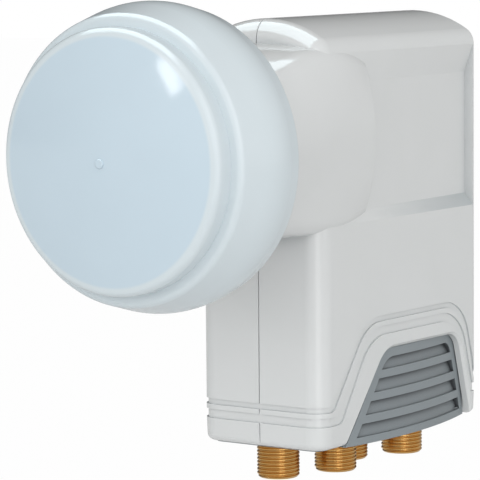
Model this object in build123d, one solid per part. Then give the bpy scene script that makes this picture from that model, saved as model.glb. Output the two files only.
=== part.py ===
from build123d import *
from itertools import product
import math
import os

# Satellite LNB with four ports. Millimetres, +Z up.
# The feed axis is the Y axis and the horn faces -Y. The origin is on that axis, at the middle
# of the round neck that a dish arm's clamp holds.

# Clamp neck and its front flange
neck_diameter = 40.0
neck_length = 16.0
flange_thickness = 4.0
seal_depth = 1.4

# Feed cap
cap_length = 25.8
cap_crown = 3.1
cap_disc_radius = 27.4
cap_disc_round = 1.5
cap_step = 4.1
cap_ring_radius = 29.9
cap_ring_round = 1.4
cap_wide_radius = 32.7
cap_wide_round = 16.0
cap_band = 7.9
cap_rear_radius = 31.0
cap_rear_wall = 1.85
cap_wall = 1.8
cap_lip = 1.2
cap_lip_reach = 0.9
cap_nub_radius = 1.0
cap_nub_height = 0.35
cap_nub_round = 0.28

# Housing
wall = 2.0
body_width = 32.4
body_depth = 64.6
body_drop = 65.8
roof_radius = 27.3
roof_corner = 4.0
front_corner = 4.2
back_corner = 1.2
locator_radius = 2.6
locator_pin = 1.4
locator_reach = 6.0
locator_inset = 10.0
seam_width = 0.3
seam_depth = 0.4
least_round = 0.4

# Shoulder between the neck and the body
shoulder_lead = 13.6
shoulder_run = 18.9
shoulder_lift = 1.2
shoulder_half_width = 19.4
shoulder_half_height = 20.9
shoulder_end_half_width = 18.8
shoulder_end_half_height = 19.4
shoulder_side_crown = 56.0
shoulder_end_crown = 49.0
shoulder_top_crown = 100.0
shoulder_corner = 5.0
shoulder_end_round = 0.8

# Side recess that runs out from under the shoulder and deepens to the back
recess_lead = 10.0
recess_low = -17.2
recess_high = 19.8
recess_start_depth = 0.1
recess_end_depth = 2.2
recess_low_ramp = 2.7
recess_high_ramp = 6.4
recess_rim = 1.2
recess_wall = 1.6

# Grooves round the lower body and the arch over the vent. Fronts are measured from the body's front,
# backs from its back
groove_level = -56.3
groove_widths = (1.26, 1.97)
groove_rib = 1.09
groove_depth = 0.4
arch_front = 3.9
arch_front_top = 18.0
arch_back_top = 5.5
arch_back = 0.2
arch_top = -38.6
arch_front_round = 11.0
arch_back_round = 11.0
arch_foot_round = 2.5

# Vent opening in each side and its grey insert
vent_front = 10.1
vent_front_top = 26.2
vent_back_top = 7.4
vent_back = 1.74
vent_top = -46.25
vent_front_round = 8.0
vent_back_round = 5.0
vent_edge = 0.6
vent_gap = 0.15
vent_flange = 1.4
vent_lap = 1.5
louvre_count = 4
louvre_pitch = 4.55
louvre_height = 2.8
louvre_drop = 4.6
louvre_top_depth = 1.45
louvre_foot_depth = 0.75
louvre_margin = 2.1
base_plate = 2.0
base_drop = 0.3

# Bow of the insert's side panels: tucked in under the wall at the top, flared beyond it at the foot
bow_half_span = 33.0
bow_top_sag = 3.3
bow_foot_sag = 4.7
bow_top_centre = 34.5
bow_foot_centre = 32.0
bow_tuck = 0.8
bow_flare = 1.6
panel_wall = 2.2

# Lower band under the grooves, drawn in towards the bottom
band_draft = 2.0
band_heel = 1.5

# Casting: horn, waveguide and tray
guide_bore = 17.5
guide_wall = 1.4
guide_reach = 24.4
short_wall = 2.0
horn_gap = 1.1
horn_plate = 2.5
choke_count = 3
choke_depth = 7.0
choke_wall = 1.2
tray_gap = 0.4
tray_wall = 1.8
tray_floor = 3.0
web = 2.0
saddle = 1.35
boss_radius = 2.3
seat_gap = 0.15

# Boards, lids and screws
board = 1.6
board_gap = 0.4
lid = 0.8
lid_rim = 0.8
screw_radius = 1.25
screw_length = 6.0
screw_head_radius = 2.0
screw_head = 1.1
screw_slot = 0.5

# Threaded ports
port_count = 4
port_thread = 9.44
port_reach = 8.3
port_front = 11.5
port_back = 11.4
port_bore = 5.6
port_shank_radius = 5.2
port_shoulder = 0.3
port_collar_radius = 6.5
port_collar = 2.8
port_spigot_radius = 3.8
port_mouth = 1.0
port_chamfer = 0.5
contact_radius = 0.4
contact_tail = 6.0
contact_hole = 1.1
socket_radius = 0.95
socket_length = 6.0
seal_width = 1.2
seal_height = 1.2

# Probes
probe_inset = 7.5
probe_spacing = 11.0
probe_depth = 6.0
probe_tail = 4.0
probe_bend = 1.2
bead_radius = 1.5

# Parts on the boards: outline, height, distance behind the waveguide's end, drop under its shelf
converter_outline = (5.0, 5.0)
converter_height = 0.9
converter_rows = (-12.0, -1.0)
crystal_outline = (11.0, 4.6)
crystal_height = 3.4
crystal_row = 14.0
rf_drop = 10.5
small_outline = (1.6, 0.8)
small_height = 0.6
rf_small_rows = (-14.0, -6.0, 6.0, 14.0)
rf_small_drops = (18.5, 24.5)
switch_outline = (7.0, 7.0)
switch_height = 1.0
switch_row = 2.0
switch_drop = 18.5
regulator_outline = (4.5, 2.5)
regulator_height = 1.5
regulator_rows = (-12.0, 1.0, 14.0, 27.0)
regulator_drop = 30.5
if_small_rows = (-10.0, 14.0, 22.0, 28.0)
if_small_drops = (12.5, 22.5)

# Places worked out from the sizes above
neck_radius = neck_diameter / 2
flange_radius = cap_rear_radius - cap_rear_wall - seat_gap
horn_radius = min(cap_ring_radius - cap_wall, flange_radius + seat_gap) - horn_gap
cap_rear = -neck_length / 2
cap_front = cap_rear - cap_length
flange_rear = cap_rear - cap_lip - seat_gap
flange_front = flange_rear - flange_thickness
shoulder_front = neck_length / 2
body_front = shoulder_front + shoulder_lead
body_back = body_front + body_depth
half_width = body_width / 2
guide_radius = guide_bore / 2 + guide_wall
horn_back = flange_front - seat_gap
horn_face = horn_back - horn_plate
guide_end = body_front + guide_reach
base_low = -body_drop - base_drop
base_top = base_low + base_plate
tray_low = base_top + seat_gap + port_collar
tray_front = body_front + wall + tray_gap
tray_back = body_back - wall - tray_gap
tray_high = guide_radius
pocket_low = tray_low + tray_floor
shelf = -guide_radius - saddle
board_face = web / 2 + board
port_offset = board_face + contact_radius
port_pitch = (body_depth - port_front - port_back) / (port_count - 1)
band_level = groove_level - sum(groove_widths) - groove_rib
clear = 5.0
far = 200.0


def frame_at(y):
    """Upright sketch plane across the feed axis: sketch x is X, sketch y is Z."""
    return Plane(origin=(0, y, 0), x_dir=(1, 0, 0), z_dir=(0, -1, 0))


def side_at(x):
    """Sketch plane along the side: sketch x is Y, sketch y is Z."""
    return Plane(origin=(x, 0, 0), x_dir=(0, 1, 0), z_dir=(1, 0, 0))


def block(x0, x1, y0, y1, z0, z1):
    """Box between two corners."""
    return Pos((x0 + x1) / 2, (y0 + y1) / 2, (z0 + z1) / 2) * Box(x1 - x0, y1 - y0, z1 - z0)


def drum(radius, y0, y1):
    """Cylinder on the feed axis."""
    return extrude(frame_at(y0) * Circle(radius), -(y1 - y0))


def post(radius, x, y, z0, z1):
    """Upright cylinder."""
    return Pos(x, y, (z0 + z1) / 2) * Cylinder(radius, z1 - z0)


def stub(radius, x0, x1, y, z):
    """Cylinder across the body."""
    return Pos((x0 + x1) / 2, y, z) * Rot(0, 90, 0) * Cylinder(radius, x1 - x0)


def turned(points):
    """Solid of revolution round the feed axis from (radius, y) points."""
    return revolve(make_face(Polyline(*points, close=True)), axis=Axis.Y)


def both_sides(solid):
    """A solid and its mirror image on the other side of the mid-plane."""
    return solid + mirror(solid, about=Plane.YZ)


def round_corners(face, corners):
    """Round each named corner of a face: corners holds (point, radius)."""
    for point, radius in corners:
        corner = face.vertices().sort_by_distance(Vector(*point))[0]
        face = fillet(corner, radius)
    return face


def feed_cap():
    """Domed disc, stepped ring, flared skirt and a snap lip behind the neck flange."""
    rim = cap_front + cap_crown
    ledge = rim + cap_step
    wide = cap_rear - cap_band
    dome = (cap_disc_radius ** 2 + cap_crown ** 2) / (2 * cap_crown)
    half_dome = cap_disc_radius / 2
    skirt = (cap_wide_radius - cap_ring_radius, wide - ledge)
    band = (cap_rear_radius - cap_wide_radius, cap_band)
    bend = abs(math.atan2(*skirt) - math.atan2(*band))
    band_room = (math.hypot(*band) - 2 * least_round) / math.tan(bend / 2)
    dome_middle = cap_front + dome - math.sqrt(dome ** 2 - half_dome ** 2)
    outer = make_face([
        ThreePointArc((0, cap_front), (half_dome, dome_middle), (cap_disc_radius, rim)),
        Polyline(
            (cap_disc_radius, rim), (cap_disc_radius, ledge), (cap_ring_radius, ledge),
            (cap_wide_radius, wide), (cap_rear_radius, cap_rear), (0, cap_rear), (0, cap_front),
        ),
    ])
    outer = round_corners(outer, [
        ((cap_disc_radius, rim), cap_disc_round),
        ((cap_ring_radius, ledge), cap_ring_round),
        ((cap_wide_radius, wide), min(cap_wide_round, band_room)),
        ((cap_rear_radius, cap_rear), least_round),
    ])
    bore = flange_radius + seat_gap
    disc_bore = cap_disc_radius - cap_wall
    lip = cap_rear - cap_lip
    inner = make_face([
        ThreePointArc(
            (0, cap_front + cap_wall), (half_dome, dome_middle + cap_wall), (disc_bore, rim + cap_wall),
        ),
        Polyline(
            (disc_bore, rim + cap_wall), (disc_bore, ledge + cap_wall / 2),
            (cap_ring_radius - cap_wall, ledge + cap_wall), (bore, flange_front - seat_gap),
            (bore, lip), (bore - cap_lip_reach, lip), (bore - cap_lip_reach, cap_rear),
            (0, cap_rear), (0, cap_front + cap_wall),
        ),
    ])
    nub = drum(cap_nub_radius, cap_front - cap_nub_height, cap_front + cap_wall / 2)
    nub = fillet(nub.edges().group_by(Axis.Y)[0], cap_nub_round)
    return revolve(outer, axis=Axis.Y) + nub - revolve(inner, axis=Axis.Y)


def cap_seal():
    """Rubber ring between the neck flange and the cap's bore."""
    y = (flange_front + flange_rear) / 2
    ring = drum(flange_radius + seat_gap, y - seal_width / 2, y + seal_width / 2)
    return ring - drum(flange_radius - seal_depth, y - seal_width / 2, y + seal_width / 2)


def body_block(inset):
    """Main body, drawn in by an inset: arched roof, upright sides, rounded front and back edges."""
    side = half_width - inset
    roof = roof_radius - inset
    low = -body_drop - (wall if inset >= wall else 0)
    eaves = math.sqrt(roof ** 2 - side ** 2)
    outline = [
        Polyline((-side, eaves), (-side, low), (side, low), (side, eaves)),
        ThreePointArc((side, eaves), (0, roof), (-side, eaves)),
    ]
    corner = max(roof_corner - inset, least_round)
    face = round_corners(make_face(outline), [((side, eaves), corner), ((-side, eaves), corner)])
    solid = extrude(frame_at(body_front + inset) * face, -(body_depth - 2 * inset))
    for end, radius in ((0, front_corner), (-1, back_corner)):
        loop = solid.edges().group_by(Axis.Y)[end]
        rim = loop.filter_by(lambda edge: edge.center().Z > low + least_round)
        solid = fillet(rim, max(radius - inset, least_round))
    return solid


def oval_corner(half_x, half_z, crown_x, crown_z, corner):
    """Points of one corner of a crowned oval: end of the side, middle of the corner, end of the top."""
    side_hub = Vector(half_x - crown_x, 0)
    top_hub = Vector(0, half_z - crown_z)
    side_reach = crown_x - corner
    top_reach = crown_z - corner
    span = top_hub - side_hub
    along = (side_reach ** 2 - top_reach ** 2 + span.length ** 2) / (2 * span.length)
    across = math.sqrt(side_reach ** 2 - along ** 2)
    unit = span.normalized()
    hub = side_hub + unit * along + Vector(-unit.Y, unit.X) * across
    side_end = side_hub + (hub - side_hub).normalized() * crown_x
    top_end = top_hub + (hub - top_hub).normalized() * crown_z
    middle = hub + (side_end + top_end - hub * 2).normalized() * corner
    return [(point.X, point.Y) for point in (side_end, middle, top_end)]


def oval(half_x, half_z, corner, lift):
    """Closed outline of eight tangent arcs through one corner's points and their mirror images."""
    side_end, middle, top_end = corner
    quarter = [(half_x, 0), side_end, middle, top_end]
    upper = quarter + [(0, half_z)] + [(-x, z) for x, z in reversed(quarter)]
    lower = [(x, -z) for x, z in reversed(upper[1:-1])]
    ring = [(x, z + lift) for x, z in upper + lower]
    ring = ring[-1:] + ring
    arcs = [ThreePointArc(*ring[i:i + 3]) for i in range(0, len(ring) - 2, 2)]
    return make_face(arcs)


def round_section(radius, like):
    """The neck's circle, parted at the same bearings as another section's corner points."""
    corner = [Vector(x, z).normalized() * radius for x, z in like]
    return oval(radius, radius, [(point.X, point.Y) for point in corner], 0)


def shoulder(inset):
    """Blend from the round neck to the boxy body, with crowned sides and a rounded end."""
    end = body_front + shoulder_run - inset
    corner = max(shoulder_corner - inset, least_round)
    mouth = oval_corner(
        shoulder_half_width - inset, shoulder_half_height - inset,
        shoulder_side_crown, shoulder_top_crown, corner,
    )
    widths = (shoulder_end_half_width - inset, shoulder_end_half_height - inset)

    def tail(shrink):
        half_x, half_z = (width - shrink for width in widths)
        return oval(half_x, half_z, oval_corner(
            half_x, half_z, shoulder_end_crown, shoulder_top_crown, corner
        ), shoulder_lift)

    sections = [
        frame_at(shoulder_front) * round_section(neck_radius - inset, mouth),
        frame_at(body_front) * oval(
            shoulder_half_width - inset, shoulder_half_height - inset, mouth, shoulder_lift
        ),
        frame_at(end - shoulder_end_round) * tail(0),
    ]
    tip = frame_at(end) * tail(shoulder_end_round)
    return loft(sections) + loft([sections[-1], tip], ruled=True)


def side_recess(extra):
    """Shallow recess in the +X side that deepens to the back, grown by a wall's thickness."""
    outside = half_width + wall
    start = body_front + shoulder_run - recess_lead - extra
    end = body_back - recess_rim + extra

    def section(y, depth):
        floor = half_width - depth - extra
        low = recess_low - extra
        high = recess_high + extra
        return frame_at(y) * make_face(Polyline(
            (outside, low), (half_width, low), (floor, low + recess_low_ramp),
            (floor, high - recess_high_ramp), (half_width, high), (outside, high), close=True,
        ))

    return loft([section(start, recess_start_depth), section(end, recess_end_depth)], ruled=True)


def under_arch(drop):
    """Side-view region under the groove arch, with the line set in by a drop."""
    level = groove_level - drop
    top = arch_top - drop
    front = (body_front + arch_front + drop, level)
    front_top = (body_front + arch_front_top + drop / 2, top)
    back_top = (body_back - arch_back_top - drop / 2, top)
    back = (body_back - arch_back - drop / 2, level)
    foot = -body_drop - clear
    face = make_face(Polyline(
        (body_front - clear, level), front, front_top, back_top, back, (body_back + clear, level),
        (body_back + clear, foot), (body_front - clear, foot), close=True,
    ))
    return round_corners(face, [
        (front, arch_foot_round),
        (front_top, arch_front_round),
        (back_top, arch_back_round),
    ])


def groove_curtain(top_drop, bottom_drop):
    """Band between two arch lines, right across the body."""
    band = under_arch(top_drop) - under_arch(bottom_drop)
    return extrude(side_at(-half_width - clear) * band, body_width + 2 * clear)


def vent_outline(grow, foot):
    """Side-view outline of the vent opening, grown all round, down to a foot level."""
    top = vent_top + grow
    rise = vent_top + body_drop
    front_slope = (vent_front_top - vent_front) / rise
    back_slope = (vent_back_top - vent_back) / rise

    def front_at(z):
        return body_front + vent_front + front_slope * (z + body_drop) - grow * math.hypot(1, front_slope)

    def back_at(z):
        return body_back - vent_back - back_slope * (z + body_drop) + grow * math.hypot(1, back_slope)

    face = make_face(Polyline(
        (front_at(foot), foot), (front_at(top), top), (back_at(top), top), (back_at(foot), foot),
        close=True,
    ))
    return round_corners(face, [
        ((front_at(top), top), vent_front_round + grow),
        ((back_at(top), top), vent_back_round + grow),
    ])


def vent_cut():
    """Opening through the +X wall, with a bevelled edge."""
    foot = -body_drop - clear
    bevel = loft([
        side_at(half_width) * vent_outline(vent_edge, foot),
        side_at(half_width - vent_edge) * vent_outline(0, foot),
    ], ruled=True)
    return bevel + extrude(side_at(half_width - wall - clear) * vent_outline(0, foot), wall + 2 * clear)


def lower_band():
    """Drafted band under the grooves, rounded at its heel."""
    plan = round_corners(make_face(Polyline(
        (-half_width, body_front), (half_width, body_front),
        (half_width, body_back), (-half_width, body_back), close=True,
    )), [
        ((-half_width, body_front), front_corner), ((half_width, body_front), front_corner),
        ((-half_width, body_back), back_corner), ((half_width, body_back), back_corner),
    ])
    band = extrude(Pos(0, 0, band_level) * plan, -(body_drop + band_level), taper=band_draft)
    heel = band.edges().group_by(Axis.Z)[0].sort_by(Axis.Y)[-1]
    return fillet(heel, band_heel)


def neck_ribs():
    """Rings in the neck that hold the waveguide tube."""
    tube = drum(guide_radius + seat_gap, flange_front, body_front)
    ribs = drum(neck_radius - wall / 2, flange_front, flange_front + wall)
    ribs += drum(neck_radius - wall / 2, shoulder_front, shoulder_front + wall)
    return ribs - tube


def seal_groove():
    """Groove for the cap seal round the neck flange."""
    y = (flange_front + flange_rear) / 2
    half_groove = seal_width / 2 + seat_gap
    ring = drum(flange_radius + clear, y - half_groove, y + half_groove)
    return ring - drum(flange_radius - seal_depth, y - half_groove, y + half_groove)


def housing():
    """Whole housing before it is parted into halves."""
    outside = body_block(0) - both_sides(side_recess(0)) + shoulder(0)
    neck = drum(neck_radius, flange_front, shoulder_front)
    flange = drum(flange_radius, flange_front, flange_rear)
    cavity = body_block(wall) - both_sides(side_recess(recess_wall)) + shoulder(wall)
    bore = drum(neck_radius - wall, flange_front, shoulder_front)
    shell = outside - cavity + (neck + flange - bore) + neck_ribs()
    below = block(-far, far, -far, far, -far, band_level)
    shell -= below - lower_band()
    skin = body_block(groove_depth)
    first, second = groove_widths
    for top, bottom in ((0, first), (first + groove_rib, first + groove_rib + second)):
        shell -= groove_curtain(top, bottom) - skin
    shell -= both_sides(vent_cut())
    shell -= seal_groove()
    seam = block(-seam_width / 2, seam_width / 2, shoulder_front, body_back + clear, -far, far)
    return shell - (seam - body_block(seam_depth) - shoulder(seam_depth))


def half_shell(shell, side):
    """One half of the housing, with the bosses and pins that locate it on the other half."""
    keep = block(0, far, -far, far, -far, far)
    solid = shell & (keep if side > 0 else mirror(keep, about=Plane.YZ))
    level = roof_radius - wall - 2 * locator_radius
    root = half_width - wall + seat_gap
    for y in (body_front + locator_inset, body_back - locator_inset):
        if side > 0:
            solid += stub(locator_radius, 0, root, y, level)
            solid -= stub(locator_pin + seat_gap, 0, locator_reach + seat_gap, y, level)
        else:
            solid += stub(locator_radius, -root, 0, y, level)
            solid += stub(locator_pin, -wall, locator_reach, y, level)
    return solid


def port_places():
    """Ports in a zigzag row, half of them on each side of the tray's web."""
    for index in range(port_count):
        side = 1 if index % 2 else -1
        yield side * port_offset, body_front + port_front + index * port_pitch


def bow_plan(level, inset):
    """Plan at one level of what lies inside a side panel's bowed face, drawn in by an inset."""
    share = (level - base_low) / (vent_top - base_low)
    middle = half_width + bow_flare - share * (bow_flare + bow_tuck) - inset
    edge = middle - bow_foot_sag - share * (bow_top_sag - bow_foot_sag)
    y = body_front + bow_foot_centre + share * (bow_top_centre - bow_foot_centre)
    front = y - bow_half_span
    back = y + bow_half_span
    return Pos(0, 0, level) * make_face([
        Polyline((edge, back), (0, back), (0, front), (edge, front)),
        ThreePointArc((edge, front), (middle, y), (edge, back)),
    ])


def bow(low, high, low_inset, high_inset):
    """Solid inside a side panel's bowed face between two levels."""
    return loft([bow_plan(low, low_inset), bow_plan(high, high_inset)], ruled=True)


def side_panel():
    """Bowed and louvred panel on the +X side, with a lip that laps the wall from inside."""
    back_face = side_at(half_width - wall - vent_gap - vent_flange)
    panel = extrude(back_face * vent_outline(vent_lap, base_low), vent_flange)
    panel &= block(0, far, body_front + wall + vent_gap, body_back - wall - vent_gap, -far, far)
    panel += extrude(back_face * vent_outline(-vent_gap, base_low), far)
    panel &= bow(base_low, vent_top + vent_lap, 0, 0)
    hollow = extrude(side_at(0) * vent_outline(-louvre_margin, base_top), far)
    panel -= hollow & bow(base_top, vent_top, panel_wall, panel_wall)
    field = vent_outline(-louvre_margin, base_low - clear)
    for index in range(louvre_count):
        low = vent_top - louvre_drop - index * louvre_pitch
        high = low + louvre_height
        band = make_face(Polyline(
            (body_front, low), (body_back, low), (body_back, high), (body_front, high), close=True,
        ))
        slot = extrude(back_face * (band & field), far)
        panel -= slot - bow(low, high, louvre_foot_depth, louvre_top_depth)
    return panel


def vent_base():
    """Grey insert: bottom plate round the ports and a louvred panel in each side opening."""
    reach = half_width - wall - vent_gap
    front = body_front + wall + vent_gap
    back = body_back - wall - vent_gap
    plate = block(-reach, reach, front, back, base_low, base_top)
    plate = fillet(plate.edges().filter_by(Axis.Z), front_corner - wall + vent_gap)
    for x, y in port_places():
        plate -= post(port_shank_radius + vent_gap, x, y, base_low - clear, base_top + clear)
        seat = port_shank_radius + seal_width + vent_gap
        plate -= post(seat, x, y, base_top - seal_height + seat_gap, base_top + clear)
    return plate + both_sides(side_panel())


def tray_outline(front, back, low, high, step, ledge):
    """L-shaped side view of the tray, its pocket or its lid."""
    return make_face(Polyline(
        (front, low), (back, low), (back, high), (step, high), (step, ledge), (front, ledge), close=True,
    ))


def pocket_outline(gap):
    """Side view of the tray's pocket, drawn in by a gap."""
    return tray_outline(
        tray_front + tray_wall + gap, tray_back - tray_wall - gap, pocket_low + gap,
        tray_high - tray_wall - gap, guide_end + gap, shelf - gap,
    )


def lid_outline(gap):
    """Side view of a lid's seat in the tray's rim, drawn in by a gap."""
    return tray_outline(
        tray_front + lid_rim + gap, tray_back - lid_rim - gap, tray_low + lid_rim + gap,
        tray_high - lid_rim - gap, guide_end + gap, shelf + tray_wall - lid_rim - gap,
    )


def screw_places():
    """Lid screws: three along the floor, one under the waveguide, two behind it."""
    edge = tray_wall + boss_radius / 2
    front = tray_front + edge
    back = tray_back - edge
    low = pocket_low + boss_radius / 2
    port_gap = body_front + port_front + port_pitch * (port_count - 1) / 2
    return [
        (front, low), (port_gap, low), (back, low),
        (front, shelf - boss_radius / 2),
        (back, shelf - 2 * boss_radius),
        (guide_end + boss_radius / 2, tray_high - edge),
    ]


def probe_places():
    """Distance along the waveguide of the upright probe and of the bent one."""
    return body_front + probe_inset, body_front + probe_inset + probe_spacing


def horn():
    """Choke-ring horn and the waveguide tube behind it, turned as one comb-shaped profile."""
    mouth = horn_face - choke_depth
    pitch = (horn_radius - guide_radius) / choke_count
    points = [(guide_bore / 2, guide_end - short_wall), (guide_bore / 2, mouth)]
    for index in range(choke_count + 1):
        outside = guide_radius + index * pitch
        if index:
            points += [(outside - choke_wall, horn_face), (outside - choke_wall, mouth)]
        points += [(outside, mouth), (outside, horn_face if index < choke_count else horn_back)]
    points += [(guide_radius, horn_back), (guide_radius, guide_end)]
    points += [(0, guide_end), (0, guide_end - short_wall)]
    return turned(points)


def chassis():
    """One casting: horn, waveguide, and a tray with a pocket on each side of a central web."""
    outline = tray_outline(
        tray_front, tray_back, tray_low, tray_high, guide_end - short_wall, shelf + tray_wall
    )
    tray = extrude(side_at(-guide_radius) * outline, 2 * guide_radius)
    pocket = extrude(side_at(web / 2) * pocket_outline(0), guide_radius)
    for y, z in screw_places():
        pocket -= stub(boss_radius, 0, guide_radius, y, z)
    seat = extrude(side_at(guide_radius - lid) * lid_outline(0), lid + clear)
    tray -= both_sides(pocket + seat)
    solid = tray - drum(guide_bore / 2, tray_front - clear, guide_end - short_wall) + horn()
    for y, z in screw_places():
        solid -= both_sides(stub(screw_radius, guide_radius - screw_length - lid, guide_radius, y, z))
    for x, y in port_places():
        solid -= post(port_spigot_radius, x, y, tray_low - clear, pocket_low)
    for side, y in zip((1, -1), probe_places()):
        solid -= post(bead_radius + seat_gap, side * port_offset, y, shelf - clear, 0)
    return solid


def circuit_board(side):
    """Board that lies on one face of the web, cut out round the screw bosses."""
    solid = extrude(side_at(web / 2) * pocket_outline(board_gap), board)
    for y, z in screw_places():
        solid -= stub(boss_radius + board_gap, 0, guide_radius, y, z)
    return solid if side > 0 else mirror(solid, about=Plane.YZ)


def tray_lid(side):
    """Flat cover let into the tray's rim."""
    solid = extrude(side_at(guide_radius - lid) * lid_outline(seat_gap), lid)
    for y, z in screw_places():
        solid -= stub(screw_radius + seat_gap, 0, far, y, z)
    return solid if side > 0 else mirror(solid, about=Plane.YZ)


def lid_screws(side):
    """Group of slotted screws through one lid."""
    screws = []
    for y, z in screw_places():
        screw = stub(screw_head_radius, guide_radius, guide_radius + screw_head, y, z)
        screw += stub(screw_radius, guide_radius - screw_length, guide_radius, y, z)
        slot = guide_radius + screw_head - screw_slot
        screw -= block(slot, far, y - screw_slot / 2, y + screw_slot / 2, z - far, z + far)
        screws.append(screw if side > 0 else mirror(screw, about=Plane.YZ))
    return Compound(children=screws)


def surface_parts(side, rows, drops, outline, height):
    """Group of like parts on a board's face, one at each crossing of the rows and the drops."""
    length, breadth = outline
    parts = []
    for row, drop in product(rows, drops):
        y = guide_end + row
        z = shelf - drop
        part = block(
            board_face, board_face + height, y - length / 2, y + length / 2,
            z - breadth / 2, z + breadth / 2,
        )
        parts.append(part if side > 0 else mirror(part, about=Plane.YZ))
    return Compound(children=parts)


def pin_path(side, y, points):
    """Round wire through (x, z) points at one distance along the waveguide."""
    path = FilletPolyline(*[(side * x, y, z) for x, z in points], radius=probe_bend)
    start = Plane(origin=path @ 0, z_dir=path % 0)
    return sweep(start * Circle(contact_radius), path=path)


def upright_probe():
    """Straight pick-up wire from the first board up into the waveguide."""
    y = probe_places()[0]
    return post(contact_radius, port_offset, y, shelf - probe_tail, -guide_bore / 2 + probe_depth)


def bent_probe():
    """Pick-up wire from the second board that turns level on the waveguide's axis."""
    y = probe_places()[1]
    foot = (port_offset, shelf - probe_tail)
    return pin_path(-1, y, [foot, (port_offset, 0), (port_offset - probe_depth, 0)])


def probe_beads():
    """Insulating sleeves round both probes in the waveguide's wall."""
    top = -math.sqrt((guide_bore / 2) ** 2 - port_offset ** 2) - guide_wall / 2
    beads = []
    for side, y in zip((1, -1), probe_places()):
        bead = post(bead_radius, side * port_offset, y, shelf, top)
        beads.append(bead - post(contact_radius, side * port_offset, y, shelf - clear, 0))
    return Compound(children=beads)


def port_profile(points, x, y):
    """Solid turned round a port's upright axis from (radius, z) points."""
    face = Plane.XZ * make_face(Polyline(*points, close=True))
    return Pos(x, y, 0) * revolve(face, axis=Axis.Z)


def port_body(x, y):
    """Brass barrel with a plain shank in the bottom plate, a collar under the casting and a spigot in it."""
    tip = base_low - port_reach
    thread = port_thread / 2
    shoulder_low = base_low - port_shoulder
    collar_low = base_top + seat_gap
    spigot = port_spigot_radius - seat_gap
    bore = port_bore / 2
    return port_profile([
        (bore, tip), (thread - port_chamfer, tip), (thread, tip + port_chamfer), (thread, shoulder_low),
        (port_shank_radius, shoulder_low), (port_shank_radius, collar_low), (port_collar_radius, collar_low),
        (port_collar_radius, tray_low), (spigot, tray_low), (spigot, pocket_low), (bore, pocket_low),
    ], x, y)


def port_insulator(x, y):
    """Plastic core of a port, set back in its mouth, with a lead-in hole for a cable's wire."""
    face = base_low - port_reach + port_mouth
    bore = port_bore / 2
    socket_low = face + port_mouth
    return port_profile([
        (contact_hole / 2, face), (bore, face), (bore, pocket_low), (contact_radius, pocket_low),
        (contact_radius, socket_low + socket_length), (socket_radius, socket_low + socket_length),
        (socket_radius, socket_low), (contact_hole / 2, socket_low),
    ], x, y)


def port_contact(x, y):
    """Contact of a port: a spring socket below and a tail that lies on its board."""
    low = base_low - port_reach + 2 * port_mouth
    return port_profile([
        (contact_hole / 2, low), (socket_radius, low), (socket_radius, low + socket_length),
        (contact_radius, low + socket_length), (contact_radius, pocket_low + contact_tail),
        (0, pocket_low + contact_tail), (0, low + socket_length - port_mouth),
        (contact_hole / 2, low + socket_length - port_mouth),
    ], x, y)


def port_seal(x, y):
    """Flat rubber ring under a port's collar, in the bottom plate."""
    inside = port_shank_radius
    outside = port_shank_radius + seal_width
    top = base_top + seat_gap
    return port_profile([
        (inside, top - seal_height), (outside, top - seal_height), (outside, top), (inside, top),
    ], x, y)


def all_pieces():
    """Every piece of the converter by name."""
    shell = housing()
    pieces = {
        "feed_cap": feed_cap(),
        "cap_seal": cap_seal(),
        "right_shell": half_shell(shell, 1),
        "left_shell": half_shell(shell, -1),
        "vent_base": vent_base(),
        "chassis": chassis(),
        "rf_board": circuit_board(1),
        "if_board": circuit_board(-1),
        "converter_chips": surface_parts(
            1, converter_rows, (rf_drop,), converter_outline, converter_height
        ),
        "rf_chip_parts": surface_parts(1, rf_small_rows, rf_small_drops, small_outline, small_height),
        "crystal": surface_parts(1, (crystal_row,), (rf_drop,), crystal_outline, crystal_height),
        "switch_chip": surface_parts(-1, (switch_row,), (switch_drop,), switch_outline, switch_height),
        "regulators": surface_parts(
            -1, regulator_rows, (regulator_drop,), regulator_outline, regulator_height
        ),
        "if_chip_parts": surface_parts(-1, if_small_rows, if_small_drops, small_outline, small_height),
        "vertical_probe": upright_probe(),
        "horizontal_probe": bent_probe(),
        "probe_beads": probe_beads(),
        "rf_lid": tray_lid(1),
        "if_lid": tray_lid(-1),
        "rf_lid_screws": lid_screws(1),
        "if_lid_screws": lid_screws(-1),
    }
    makers = {"body": port_body, "insulator": port_insulator, "contact": port_contact, "seal": port_seal}
    for number, place in enumerate(port_places(), start=1):
        for name, make in makers.items():
            pieces[f"port_{number}_{name}"] = make(*place)
    return pieces


if __name__ == "__main__":
    os.makedirs("parts", exist_ok=True)
    for name, piece in all_pieces().items():
        export_step(piece, f"parts/{name}.step")
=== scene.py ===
import math
import bmesh
import bpy
from mathutils import Matrix, Vector


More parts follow.
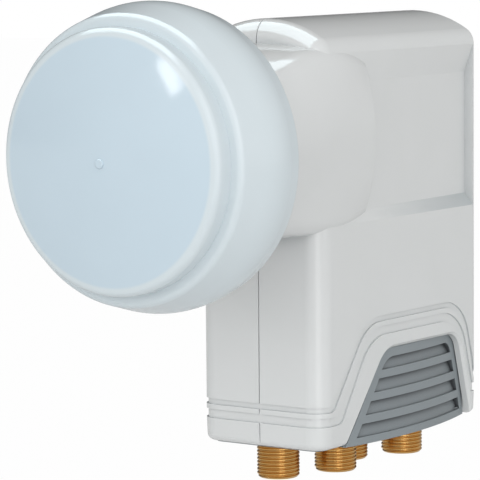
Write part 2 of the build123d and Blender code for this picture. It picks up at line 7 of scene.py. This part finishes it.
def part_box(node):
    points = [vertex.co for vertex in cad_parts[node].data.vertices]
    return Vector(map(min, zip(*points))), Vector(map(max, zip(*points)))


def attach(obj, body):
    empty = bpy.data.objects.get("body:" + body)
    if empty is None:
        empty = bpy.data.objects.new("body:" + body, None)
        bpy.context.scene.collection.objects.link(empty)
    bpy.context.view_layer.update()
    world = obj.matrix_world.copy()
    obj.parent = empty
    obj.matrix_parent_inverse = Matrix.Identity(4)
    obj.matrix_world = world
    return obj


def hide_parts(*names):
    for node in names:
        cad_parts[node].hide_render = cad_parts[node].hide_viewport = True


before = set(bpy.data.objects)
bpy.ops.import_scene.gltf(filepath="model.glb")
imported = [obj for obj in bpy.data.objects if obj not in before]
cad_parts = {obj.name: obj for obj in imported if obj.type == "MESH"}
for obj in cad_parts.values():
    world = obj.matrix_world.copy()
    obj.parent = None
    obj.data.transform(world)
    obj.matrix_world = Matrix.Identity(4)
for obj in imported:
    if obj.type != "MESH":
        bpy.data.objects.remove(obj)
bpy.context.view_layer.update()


# Casting: the horn with its choke rings, the waveguide and the tray for the boards are one piece.
# It is aluminium, pressure die cast and left as cast, so it is dull with a fine frosted skin.
MM = 0.001


def colour(code):
    """An sRGB hex value as linear red, green, blue and alpha."""
    shares = [int(code[i:i + 2], 16) / 255 for i in (0, 2, 4)]
    return [s / 12.92 if s <= 0.04045 else ((s + 0.055) / 1.055) ** 2.4 for s in shares] + [1.0]


def per_metre(size_mm):
    """Scale of a pattern whose marks are this many millimetres across."""
    return 1 / (size_mm * MM)


def add(material, kind, settings):
    """Adds a node to a material or world. A setting is a property, a socket's value or a link's source."""
    made = material.node_tree.nodes.new(kind)
    for key, value in settings.items():
        if isinstance(value, bpy.types.NodeSocket):
            material.node_tree.links.new(value, made.inputs[key])
        elif isinstance(key, str) and hasattr(made, key):
            setattr(made, key, value)
        else:
            made.inputs[key].default_value = value
    return made


def begin(name):
    """An empty node material: returns it with the place of each point on its piece."""
    material = bpy.data.materials.new(name)
    material.use_nodes = True
    material.node_tree.nodes.clear()
    return material, add(material, "ShaderNodeTexCoord", {}).outputs["Object"]


def end(material, shader):
    """Joins the last shader to the material's output."""
    add(material, "ShaderNodeOutputMaterial", {"Surface": shader.outputs[0]})


def dress(material, *names):
    """Puts a material on CAD nodes."""
    for name in names:
        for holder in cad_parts[name].material_slots:
            holder.material = material


# Die-cast aluminium, as cast: the frosted skin is drawn at 0.5 mm and the flow marks at 9 mm.
as_cast, place = begin("aluminium_die_cast")
frost = add(as_cast, "ShaderNodeTexNoise", {"Vector": place, "Scale": per_metre(0.5), "Detail": 4.0})
flow = add(as_cast, "ShaderNodeTexNoise", {
    "Vector": place, "Scale": per_metre(9), "Detail": 2.0, "Distortion": 1.2,
})
tone = add(as_cast, "ShaderNodeMix", {
    "data_type": "RGBA", 0: flow.outputs["Fac"], 6: colour("8E9194"), 7: colour("A9ACAE"),
})
dulled = add(as_cast, "ShaderNodeMapRange", {"Value": frost.outputs["Fac"], "To Min": 0.42, "To Max": 0.6})
relief = add(as_cast, "ShaderNodeBump", {
    "Height": frost.outputs["Fac"], "Strength": 0.4, "Distance": 0.05 * MM,
})
end(as_cast, add(as_cast, "ShaderNodeBsdfPrincipled", {
    "Base Color": tone.outputs[2], "Metallic": 1.0,
    "Roughness": dulled.outputs[0], "Normal": relief.outputs[0],
}))
dress(as_cast, "chassis")


# Circuit boards: one on each side of the casting's web, glass cloth in epoxy with copper tracks.
# A green lacquer covers the copper, so the tracks show as lighter lines under a glossy coat.
lacquered, place = begin("glass_epoxy_board_lacquered")
tracks = add(lacquered, "ShaderNodeTexBrick", {
    "Vector": add(lacquered, "ShaderNodeMapping", {
        "Vector": place, "Rotation": (0.0, math.pi / 2, 0.0),
    }).outputs[0],
    "Scale": per_metre(6), "Mortar Size": 0.04, "Mortar Smooth": 0.1,
    "Color1": colour("1E5B36"), "Color2": colour("1A5230"), "Mortar": colour("3C8452"),
})
weave = add(lacquered, "ShaderNodeTexWave", {"Vector": place, "Scale": per_metre(0.6), "Distortion": 1.0})
raised = add(lacquered, "ShaderNodeBump", {
    "Height": weave.outputs["Fac"], "Strength": 0.12, "Distance": 0.03 * MM,
})
end(lacquered, add(lacquered, "ShaderNodeBsdfPrincipled", {
    "Base Color": tracks.outputs["Color"], "Roughness": 0.28, "Normal": raised.outputs[0],
}))
dress(lacquered, "rf_board", "if_board")


# Chips and regulators: silicon in black moulded epoxy, soldered to the boards.
# The moulds are spark eroded, so the epoxy is matt with a fine even grain.
epoxy, place = begin("moulded_black_epoxy")
grit = add(epoxy, "ShaderNodeTexNoise", {"Vector": place, "Scale": per_metre(0.12), "Detail": 3.0})
shade = add(epoxy, "ShaderNodeMix", {
    "data_type": "RGBA", 0: grit.outputs["Fac"], 6: colour("1B1B1D"), 7: colour("2B2B2D"),
})
pitted = add(epoxy, "ShaderNodeBump", {
    "Height": grit.outputs["Fac"], "Strength": 0.3, "Distance": 0.03 * MM,
})
end(epoxy, add(epoxy, "ShaderNodeBsdfPrincipled", {
    "Base Color": shade.outputs[2], "Roughness": 0.62, "Normal": pitted.outputs[0],
}))
dress(epoxy, "converter_chips", "switch_chip", "regulators")


# Small parts on both boards: multilayer capacitors and resistors of fired ceramic.
# The bodies are tan and faintly mottled, with a dull fired surface.
fired, place = begin("fired_tan_ceramic")
mottle = add(fired, "ShaderNodeTexNoise", {"Vector": place, "Scale": per_metre(0.3), "Detail": 3.0})
tan = add(fired, "ShaderNodeMix", {
    "data_type": "RGBA", 0: mottle.outputs["Fac"], 6: colour("8A6A4A"), 7: colour("A88A66"),
})
end(fired, add(fired, "ShaderNodeBsdfPrincipled", {"Base Color": tan.outputs[2], "Roughness": 0.5}))
dress(fired, "rf_chip_parts", "if_chip_parts")


# Crystal: a quartz plate in a drawn can, soldered to the first board by its leads.
# The can is nickel-plated steel, bright with faint drawing lines along it.
drawn, place = begin("nickel_plated_drawn_steel")
lines = add(drawn, "ShaderNodeTexNoise", {
    "Vector": add(drawn, "ShaderNodeMapping", {"Vector": place, "Scale": (1.0, 0.05, 1.0)}).outputs[0],
    "Scale": per_metre(0.2), "Detail": 2.0,
})
bright = add(drawn, "ShaderNodeMapRange", {"Value": lines.outputs["Fac"], "To Min": 0.18, "To Max": 0.32})
end(drawn, add(drawn, "ShaderNodeBsdfPrincipled", {
    "Base Color": colour("BDB9AF"), "Metallic": 1.0, "Roughness": bright.outputs[0],
}))
dress(drawn, "crystal")


# Probes: two pick-up wires that reach from the boards into the waveguide.
# They are drawn copper wire with a bright tin coat that has a slight ripple.
tinned, place = begin("tinned_copper_wire")
ripple = add(tinned, "ShaderNodeTexNoise", {"Vector": place, "Scale": per_metre(0.8), "Detail": 2.0})
coat = add(tinned, "ShaderNodeMix", {
    "data_type": "RGBA", 0: ripple.outputs["Fac"], 6: colour("B4B2AC"), 7: colour("CFCDC8"),
})
end(tinned, add(tinned, "ShaderNodeBsdfPrincipled", {
    "Base Color": coat.outputs[2], "Metallic": 1.0, "Roughness": 0.25,
}))
dress(tinned, "vertical_probe", "horizontal_probe")


# Beads and port cores: turned white fluoroplastic that keeps each wire off the metal round it.
# The plastic is waxy, with fine rings from the tool that show as a slight change of gloss.
waxy, place = begin("turned_fluoroplastic")
rings = add(waxy, "ShaderNodeTexWave", {
    "Vector": place, "wave_type": "BANDS", "bands_direction": "Z",
    "Scale": per_metre(0.6), "Distortion": 0.4,
})
wax = add(waxy, "ShaderNodeMix", {
    "data_type": "RGBA", 0: rings.outputs["Fac"], 6: colour("DAD9D3"), 7: colour("E6E5E0"),
})
sheen = add(waxy, "ShaderNodeMapRange", {"Value": rings.outputs["Fac"], "To Min": 0.34, "To Max": 0.44})
end(waxy, add(waxy, "ShaderNodeBsdfPrincipled", {
    "Base Color": wax.outputs[2], "Roughness": sheen.outputs[0], "IOR": 1.38,
}))
PORTS = (1, 2, 3, 4)
dress(waxy, "probe_beads", *[f"port_{number}_insulator" for number in PORTS])


# Lids: flat covers that shut the tray on both sides, pressed from tinplate.
# The rolled sheet keeps long fine lines and a soft bright reflection.
rolled, place = begin("rolled_tinplate")
grain = add(rolled, "ShaderNodeTexNoise", {
    "Vector": add(rolled, "ShaderNodeMapping", {"Vector": place, "Scale": (1.0, 0.02, 1.0)}).outputs[0],
    "Scale": per_metre(0.4), "Detail": 3.0,
})
plate = add(rolled, "ShaderNodeMix", {
    "data_type": "RGBA", 0: grain.outputs["Fac"], 6: colour("AEB0B1"), 7: colour("C4C6C6"),
})
lined = add(rolled, "ShaderNodeMapRange", {"Value": grain.outputs["Fac"], "To Min": 0.25, "To Max": 0.42})
end(rolled, add(rolled, "ShaderNodeBsdfPrincipled", {
    "Base Color": plate.outputs[2], "Metallic": 1.0, "Roughness": lined.outputs[0],
}))
dress(rolled, "rf_lid", "if_lid")


# Lid screws: six slotted screws a side, cold headed from steel wire and zinc plated.
# The plating is pale and slightly uneven, with a faint warm tint from its passivation.
plated, place = begin("zinc_plated_steel")
patchy = add(plated, "ShaderNodeTexNoise", {"Vector": place, "Scale": per_metre(1.2), "Detail": 3.0})
zinc = add(plated, "ShaderNodeMix", {
    "data_type": "RGBA", 0: patchy.outputs["Fac"], 6: colour("A5A49A"), 7: colour("C2C1BA"),
})
end(plated, add(plated, "ShaderNodeBsdfPrincipled", {
    "Base Color": zinc.outputs[2], "Metallic": 1.0, "Roughness": 0.33,
}))
dress(plated, "rf_lid_screws", "if_lid_screws")


# Port contacts: spring sockets on the ports' axes whose tails are soldered to the boards.
# They are rolled from phosphor bronze and thinly gold plated where a cable's wire enters.
sprung, place = begin("gold_plated_bronze")
worn = add(sprung, "ShaderNodeTexNoise", {"Vector": place, "Scale": per_metre(1.0), "Detail": 2.0})
gilt = add(sprung, "ShaderNodeMix", {
    "data_type": "RGBA", 0: worn.outputs["Fac"], 6: colour("C69A4C"), 7: colour("D9B566"),
})
end(sprung, add(sprung, "ShaderNodeBsdfPrincipled", {
    "Base Color": gilt.outputs[2], "Metallic": 1.0, "Roughness": 0.24,
}))
dress(sprung, *[f"port_{number}_contact" for number in PORTS])


# Port barrels: four screw sockets turned from brass bar, each with a 32 to the inch thread.
# A plain shank fills the bottom plate, a collar sits under the casting and a spigot is pressed into it.
THREAD_PITCH = 0.794 * MM
THREAD_DEPTH = 0.32 * MM
THREAD_STEPS = 48
BORE = 2.8 * MM
CREST = 4.72 * MM
SHANK = 5.2 * MM
SPIGOT = 3.65 * MM
COLLAR = 2.8 * MM
SHOULDER = 0.3 * MM
TIP_CHAMFER = 0.5 * MM
SPIGOT_LENGTH = 3.0 * MM
WELD = 0.01 * MM

# Machined brass: fine rings left by the tool, about 0.3 mm apart, and a faint tarnish mottled at 2.5 mm.
brass, place = begin("turned_brass")
tool_rings = add(brass, "ShaderNodeTexWave", {
    "Vector": place, "wave_type": "BANDS", "bands_direction": "Z",
    "Scale": per_metre(0.9), "Distortion": 0.6,
})
tarnish = add(brass, "ShaderNodeTexNoise", {"Vector": place, "Scale": per_metre(2.5), "Detail": 4.0})
gold = add(brass, "ShaderNodeMix", {
    "data_type": "RGBA", 0: tarnish.outputs["Fac"], 6: colour("CC9F5C"), 7: colour("E0B472"),
})
cut = add(brass, "ShaderNodeMapRange", {"Value": tool_rings.outputs["Fac"], "To Min": 0.22, "To Max": 0.32})
end(brass, add(brass, "ShaderNodeBsdfPrincipled", {
    "Base Color": gold.outputs[2], "Metallic": 1.0, "Roughness": cut.outputs[0],
}))


def ring_of(mesh, level):
    """Edges of the open rim at one height."""
    return [
        edge for edge in mesh.edges
        if edge.is_boundary and all(abs(vertex.co.z - level) < WELD for vertex in edge.verts)
    ]


def carry_on(mesh, rim, radius, level):
    """Extrudes a rim into a new ring of the given radius and height, and returns its edges."""
    made = bmesh.ops.extrude_edge_only(mesh, edges=rim)["geom"]
    for vertex in (item for item in made if isinstance(item, bmesh.types.BMVert)):
        flat = Vector((vertex.co.x, vertex.co.y)).normalized() * radius
        vertex.co = (flat.x, flat.y, level)
    return [item for item in made if isinstance(item, bmesh.types.BMEdge) and item.is_boundary]


def threaded_barrel(tip, plate_low, collar_low, collar_radius, tray_low):
    """One barrel round the upright axis, from its threaded tip to the spigot in the casting."""
    mesh = bmesh.new()
    shoulder = plate_low - SHOULDER
    start = tip - 2 * THREAD_PITCH
    turns = math.ceil((shoulder - start) / THREAD_PITCH) + 1
    # One turn's profile: share of the pitch, and depth under the crest.
    flank = ((0.0, THREAD_DEPTH), (0.12, THREAD_DEPTH), (0.4, 0.0), (0.72, 0.0), (1.0, THREAD_DEPTH))
    points = [mesh.verts.new((CREST - sunk, 0.0, start + along * THREAD_PITCH)) for along, sunk in flank]
    edges = [mesh.edges.new(pair) for pair in zip(points, points[1:])]
    bmesh.ops.spin(
        mesh, geom=points + edges, axis=(0, 0, 1), cent=(0, 0, 0), angle=2 * math.pi * turns,
        steps=THREAD_STEPS * turns, dvec=(0, 0, THREAD_PITCH / THREAD_STEPS),
    )
    bmesh.ops.remove_doubles(mesh, verts=mesh.verts, dist=WELD)
    for level, clear_outer in ((tip, False), (shoulder, True)):
        bmesh.ops.bisect_plane(
            mesh, geom=mesh.verts[:] + mesh.edges[:] + mesh.faces[:], dist=WELD / 10,
            plane_co=(0, 0, level), plane_no=(0, 0, 1),
            clear_outer=clear_outer, clear_inner=not clear_outer,
        )
    for vertex in mesh.verts:
        flat = Vector((vertex.co.x, vertex.co.y))
        most = CREST - max(0.0, TIP_CHAMFER - (vertex.co.z - tip))
        if flat.length > most:
            flat = flat.normalized() * most
            vertex.co = (flat.x, flat.y, vertex.co.z)
    low_rim = ring_of(mesh, tip)
    high_rim = ring_of(mesh, shoulder)
    profile = (
        (SHANK, shoulder), (SHANK, collar_low), (collar_radius, collar_low), (collar_radius, tray_low),
        (SPIGOT, tray_low), (SPIGOT, tray_low + SPIGOT_LENGTH), (BORE, tray_low + SPIGOT_LENGTH),
    )
    for radius, level in profile:
        high_rim = carry_on(mesh, high_rim, radius, level)
    low_rim = carry_on(mesh, low_rim, BORE, tip)
    bmesh.ops.bridge_loops(mesh, edges=low_rim + high_rim)
    bmesh.ops.remove_doubles(mesh, verts=mesh.verts, dist=WELD / 2)
    bmesh.ops.recalc_face_normals(mesh, faces=mesh.faces)
    return mesh


plate_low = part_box("vent_base")[0][2]
for number in PORTS:
    node = f"port_{number}_body"
    low, high = (Vector(corner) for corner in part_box(node))
    middle = (low + high) / 2
    tray_low = high.z - SPIGOT_LENGTH
    mesh = threaded_barrel(low.z, plate_low, tray_low - COLLAR, (high.x - low.x) / 2, tray_low)
    bmesh.ops.translate(mesh, verts=mesh.verts, vec=(middle.x, middle.y, 0))
    barrel = bpy.data.objects.new(f"port_{number}_barrel", bpy.data.meshes.new(f"port_{number}_barrel"))
    mesh.to_mesh(barrel.data)
    mesh.free()
    bpy.context.collection.objects.link(barrel)
    barrel.data.materials.append(brass)
    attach(barrel, "root")
    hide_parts(node)


# Seals: a flat ring under each port's collar and a round one on the neck's flange.
# They are cut or moulded from black rubber, matt with a trace of talc.
rubber, place = begin("moulded_black_rubber")
talc = add(rubber, "ShaderNodeTexNoise", {"Vector": place, "Scale": per_metre(0.7), "Detail": 4.0})
dusty = add(rubber, "ShaderNodeMix", {
    "data_type": "RGBA", 0: talc.outputs["Fac"], 6: colour("19191A"), 7: colour("2F2F30"),
})
end(rubber, add(rubber, "ShaderNodeBsdfPrincipled", {"Base Color": dusty.outputs[2], "Roughness": 0.7}))
dress(rubber, "cap_seal", *[f"port_{number}_seal" for number in PORTS])


# Vent insert: the bottom plate round the ports and a louvred panel in each side, one grey moulding.
# It slides up between the halves of the housing, and its panels fill their side openings.
# Satin ABS: an even fine spark grain, drawn at 0.35 mm, breaks up the shine. Painted shade darkens the
# slots.
satin, place = begin("moulded_grey_abs")
spark = add(satin, "ShaderNodeTexNoise", {"Vector": place, "Scale": per_metre(0.35), "Detail": 3.0})
cloud = add(satin, "ShaderNodeTexNoise", {"Vector": place, "Scale": per_metre(14), "Detail": 2.0})
grey = add(satin, "ShaderNodeMix", {
    "data_type": "RGBA", 0: cloud.outputs["Fac"], 6: colour("80878B"), 7: colour("888F93"),
})
# Painted shade: where the moulding's own faces crowd within 2.4 mm, as in the slots, the colour darkens
# towards 4A4D50.
corner = add(satin, "ShaderNodeAmbientOcclusion", {"only_local": True, "samples": 8, "Distance": 2.4 * MM})
open_air = add(satin, "ShaderNodeMapRange", {
    "Value": corner.outputs["AO"], "From Min": 0.35, "From Max": 0.9,
})
corner_shaded = add(satin, "ShaderNodeMix", {
    "data_type": "RGBA", 0: open_air.outputs[0], 6: colour("4A4D50"), 7: grey.outputs[2],
})
grained = add(satin, "ShaderNodeBump", {
    "Height": spark.outputs["Fac"], "Strength": 0.25, "Distance": 0.03 * MM,
})
soft = add(satin, "ShaderNodeMapRange", {"Value": spark.outputs["Fac"], "To Min": 0.4, "To Max": 0.52})
end(satin, add(satin, "ShaderNodeBsdfPrincipled", {
    "Base Color": corner_shaded.outputs[2], "Roughness": soft.outputs[0], "Normal": grained.outputs[0],
}))
dress(satin, "vent_base")


# Housing: two halves that part on the upright mid-plane and snap together round the casting.
# They are moulded from weatherproof white ASA, whose gloss has a faint 6 mm ripple and a 22 mm swirl.
# Painted shade greys the inner corners, and a painted shadow darkens the sloped ledge under each side's
# recess.
asa, place = begin("moulded_white_asa")
swirl = add(asa, "ShaderNodeTexNoise", {
    "Vector": place, "Scale": per_metre(22), "Detail": 3.0, "Distortion": 0.6,
})
white = add(asa, "ShaderNodeMix", {
    "data_type": "RGBA", 0: swirl.outputs["Fac"], 6: colour("D2D4D4"), 7: colour("D7D8D9"),
})
# Painted shade: where the shell's own faces crowd within 6 mm, in creases and inner corners, the colour
# greys towards B6BABC.
corner = add(asa, "ShaderNodeAmbientOcclusion", {"only_local": True, "samples": 8, "Distance": 6 * MM})
open_air = add(asa, "ShaderNodeMapRange", {
    "Value": corner.outputs["AO"], "From Min": 0.2, "From Max": 0.78,
})
corner_shaded = add(asa, "ShaderNodeMix", {
    "data_type": "RGBA", 0: open_air.outputs[0], 6: colour("B6BABC"), 7: white.outputs[2],
})
# Painted shadow: faces turned upward between these heights, the ledge under each side's recess, are
# darkened towards B9BEC0.
LEDGE_LOW = -17.2 * MM
LEDGE_HIGH = -14.5 * MM
facing = add(asa, "ShaderNodeSeparateXYZ", {"Vector": add(asa, "ShaderNodeTexCoord", {}).outputs["Normal"]})
upward_share = add(asa, "ShaderNodeMapRange", {
    "Value": facing.outputs["Z"], "From Min": 0.2, "From Max": 0.6,
})
on_ledge = add(asa, "ShaderNodeMath", {
    "operation": "COMPARE", 0: add(asa, "ShaderNodeSeparateXYZ", {"Vector": place}).outputs["Z"],
    1: (LEDGE_LOW + LEDGE_HIGH) / 2, 2: (LEDGE_HIGH - LEDGE_LOW) / 2,
})
ledge_shadow_share = add(asa, "ShaderNodeMath", {
    "operation": "MULTIPLY", 0: upward_share.outputs[0], 1: on_ledge.outputs[0],
})
ledge_shadowed = add(asa, "ShaderNodeMix", {
    "data_type": "RGBA", 0: ledge_shadow_share.outputs[0], 6: corner_shaded.outputs[2], 7: colour("B9BEC0"),
})
wave = add(asa, "ShaderNodeTexNoise", {"Vector": place, "Scale": per_metre(6), "Detail": 1.0})
peel = add(asa, "ShaderNodeBump", {"Height": wave.outputs["Fac"], "Strength": 0.15, "Distance": 0.02 * MM})
gloss = add(asa, "ShaderNodeMapRange", {"Value": swirl.outputs["Fac"], "To Min": 0.1, "To Max": 0.15})
end(asa, add(asa, "ShaderNodeBsdfPrincipled", {
    "Base Color": ledge_shadowed.outputs[2], "Roughness": gloss.outputs[0], "Normal": peel.outputs[0], "IOR": 1.51,
}))
dress(asa, "right_shell", "left_shell")


# Feed cap: closes the horn against rain and snaps over the neck's flange.
# It is injection moulded from polypropylene, a cooler white than the housing.
# The domed front is polished and thin. Inside its rim it has a darker, bluer painted shade, for the dark
# hollow behind the thin wall. The skirt is whiter and softer.
poly, place = begin("moulded_white_polypropylene")
DISC_EDGE = 25.1 * MM
SKIRT_EDGE = 25.9 * MM
across_axis = add(poly, "ShaderNodeMapping", {"Vector": place, "Scale": (1.0, 0.0, 1.0)})
from_axis = add(poly, "ShaderNodeVectorMath", {"operation": "LENGTH", 0: across_axis.outputs[0]})
skirt = add(poly, "ShaderNodeMapRange", {
    "interpolation_type": "SMOOTHSTEP", "Value": from_axis.outputs["Value"],
    "From Min": DISC_EDGE, "From Max": SKIRT_EDGE,
})
haze = add(poly, "ShaderNodeTexNoise", {"Vector": place, "Scale": per_metre(18), "Detail": 2.0})
# Painted shade: the disc's tone is darker and bluer than the skirt's, for the hollow seen through it.
disc_tone = add(poly, "ShaderNodeMix", {
    "data_type": "RGBA", 0: haze.outputs["Fac"], 6: colour("C0D0DB"), 7: colour("C4D4DF"),
})
skirt_tone = add(poly, "ShaderNodeMix", {
    "data_type": "RGBA", 0: haze.outputs["Fac"], 6: colour("CDD7DC"), 7: colour("D2DBE0"),
})
cool = add(poly, "ShaderNodeMix", {
    "data_type": "RGBA", 0: skirt.outputs[0], 6: disc_tone.outputs[2], 7: skirt_tone.outputs[2],
})
polish = add(poly, "ShaderNodeMapRange", {"Value": skirt.outputs[0], "To Min": 0.08, "To Max": 0.18})
end(poly, add(poly, "ShaderNodeBsdfPrincipled", {
    "Base Color": cool.outputs[2], "Roughness": polish.outputs[0], "IOR": 1.49,
}))
dress(poly, "feed_cap")


# Floor: a wide pale sheet well under the part, which hangs in the light as on its clamp.
# It is white to the camera, and still takes a faint shadow.
FLOOR_REACH = 6.0
FLOOR_LEVEL = -0.28
WHITE_SHARE = 0.975
sheet = bmesh.new()
bmesh.ops.create_grid(sheet, x_segments=1, y_segments=1, size=FLOOR_REACH)
bmesh.ops.translate(sheet, verts=sheet.verts, vec=(0, 0, FLOOR_LEVEL))
floor = bpy.data.objects.new("floor", bpy.data.meshes.new("floor"))
sheet.to_mesh(floor.data)
sheet.free()
bpy.context.collection.objects.link(floor)
paper, place = begin("white_backdrop_paper")
ray = add(paper, "ShaderNodeLightPath", {})
fibre = add(paper, "ShaderNodeTexNoise", {"Vector": place, "Scale": per_metre(3), "Detail": 3.0})
pulp = add(paper, "ShaderNodeMix", {
    "data_type": "RGBA", 0: fibre.outputs["Fac"], 6: colour("F0F0F0"), 7: colour("F4F4F4"),
})
matt = add(paper, "ShaderNodeBsdfDiffuse", {"Color": pulp.outputs[2]})
level = add(paper, "ShaderNodeMapRange", {
    "Value": ray.outputs["Is Camera Ray"], "To Min": 0.65, "To Max": 1.0,
})
shine = add(paper, "ShaderNodeEmission", {"Color": colour("FFFFFF"), "Strength": level.outputs[0]})
seen = add(paper, "ShaderNodeMath", {
    "operation": "MAXIMUM", 0: ray.outputs["Is Camera Ray"], 1: ray.outputs["Is Glossy Ray"],
})
share = add(paper, "ShaderNodeMath", {"operation": "MULTIPLY", 0: seen.outputs[0], 1: WHITE_SHARE})
end(paper, add(paper, "ShaderNodeMixShader", {
    0: share.outputs[0], 1: matt.outputs[0], 2: shine.outputs[0],
}))
floor.data.materials.append(paper)


# Light: a pale surround, a tall soft lamp right of the camera, a panel overhead and a small lamp in front.
# The surround is plain white to the camera. It lights the part most from the front and a little from below.
# Gloss shows it white on the right and dark on the left, and is all that shows the overhead panel.
world = bpy.data.worlds.new("studio")
bpy.context.scene.world = world
world.use_nodes = True
world.node_tree.nodes.clear()
ray = add(world, "ShaderNodeLightPath", {})
way = add(world, "ShaderNodeTexCoord", {}).outputs["Generated"]
rightward = add(world, "ShaderNodeVectorMath", {"operation": "DOT_PRODUCT", 0: way, 1: (0.85, -0.35, 0.3)})
fade = add(world, "ShaderNodeMapRange", {
    "Value": rightward.outputs["Value"], "From Min": -0.7, "From Max": 0.3, "To Min": 0.1, "To Max": 1.0,
})
forward = add(world, "ShaderNodeVectorMath", {"operation": "DOT_PRODUCT", 0: way, 1: (0.2, -0.88, -0.42)})
fill = add(world, "ShaderNodeMapRange", {
    "Value": forward.outputs["Value"], "From Min": -0.6, "From Max": 0.8, "To Min": 0.43, "To Max": 1.43,
})
ambient = add(world, "ShaderNodeBackground", {"Color": colour("FAFBFA"), "Strength": fill.outputs[0]})
mirrored = add(world, "ShaderNodeBackground", {"Color": colour("FFFFFF"), "Strength": fade.outputs[0]})
backdrop = add(world, "ShaderNodeBackground", {"Color": colour("FFFFFF"), "Strength": 1.0})
seen = add(world, "ShaderNodeMath", {
    "operation": "MAXIMUM", 0: ray.outputs["Is Camera Ray"], 1: ray.outputs["Is Transmission Ray"],
})
glossy = add(world, "ShaderNodeMixShader", {
    0: ray.outputs["Is Glossy Ray"], 1: ambient.outputs[0], 2: mirrored.outputs[0],
})
mixed = add(world, "ShaderNodeMixShader", {
    0: seen.outputs[0], 1: glossy.outputs[0], 2: backdrop.outputs[0],
})
add(world, "ShaderNodeOutputWorld", {"Surface": mixed.outputs[0]})


def softbox(name, spot, aim, width, height, power):
    """A rectangular lamp at one place, turned to face another."""
    lamp = bpy.data.lights.new(name, "AREA")
    lamp.shape = "RECTANGLE"
    lamp.size = width
    lamp.size_y = height
    lamp.energy = power
    holder = bpy.data.objects.new(name, lamp)
    holder.location = spot
    holder.rotation_euler = (Vector(aim) - Vector(spot)).to_track_quat("-Z", "Y").to_euler()
    bpy.context.collection.objects.link(holder)
    return holder


softbox("key_lamp", spot=(0.6, -0.44, 0.18), aim=(0.01, 0.02, -0.01), width=0.45, height=0.9, power=1.7)
panel = softbox(
    "gloss_panel", spot=(-0.33, -0.17, 0.7), aim=(-0.33, -0.17, 0), width=0.95, height=0.96, power=15.0,
)
panel.data.color = (0.8, 0.95, 1.0)
panel.visible_diffuse = False
FRONT_LAMP_LEAN = math.radians(40)
front = softbox(
    "front_lamp", spot=(-0.358, -0.937, 0.22), aim=(0.016, -0.031, 0.018),
    width=0.046, height=0.135, power=0.17,
)
front.rotation_euler.rotate_axis("Z", FRONT_LAMP_LEAN)


# Camera: a long lens about 0.6 m from the neck, in front of it, to the right and a little above.
# Its place and turn are those fitted to the photograph.
camera = bpy.data.cameras.new("camera")
camera.lens = 225.87
camera.sensor_width = 36.0
camera.clip_end = 50.0
stand = Vector((0.3715007, -0.5099438, 0.0490725))
across = Vector((0.8166928, 0.57700893, -0.00857652))
upward = Vector((-0.05454266, 0.09197769, 0.99426616))
away = across.cross(upward)
turn = Matrix((across, upward, away)).transposed().to_4x4()
tripod = bpy.data.objects.new("camera", camera)
tripod.matrix_world = Matrix.Translation(stand) @ turn
bpy.context.collection.objects.link(tripod)
bpy.context.scene.camera = tripod
bpy.context.scene.view_settings.view_transform = "Standard"
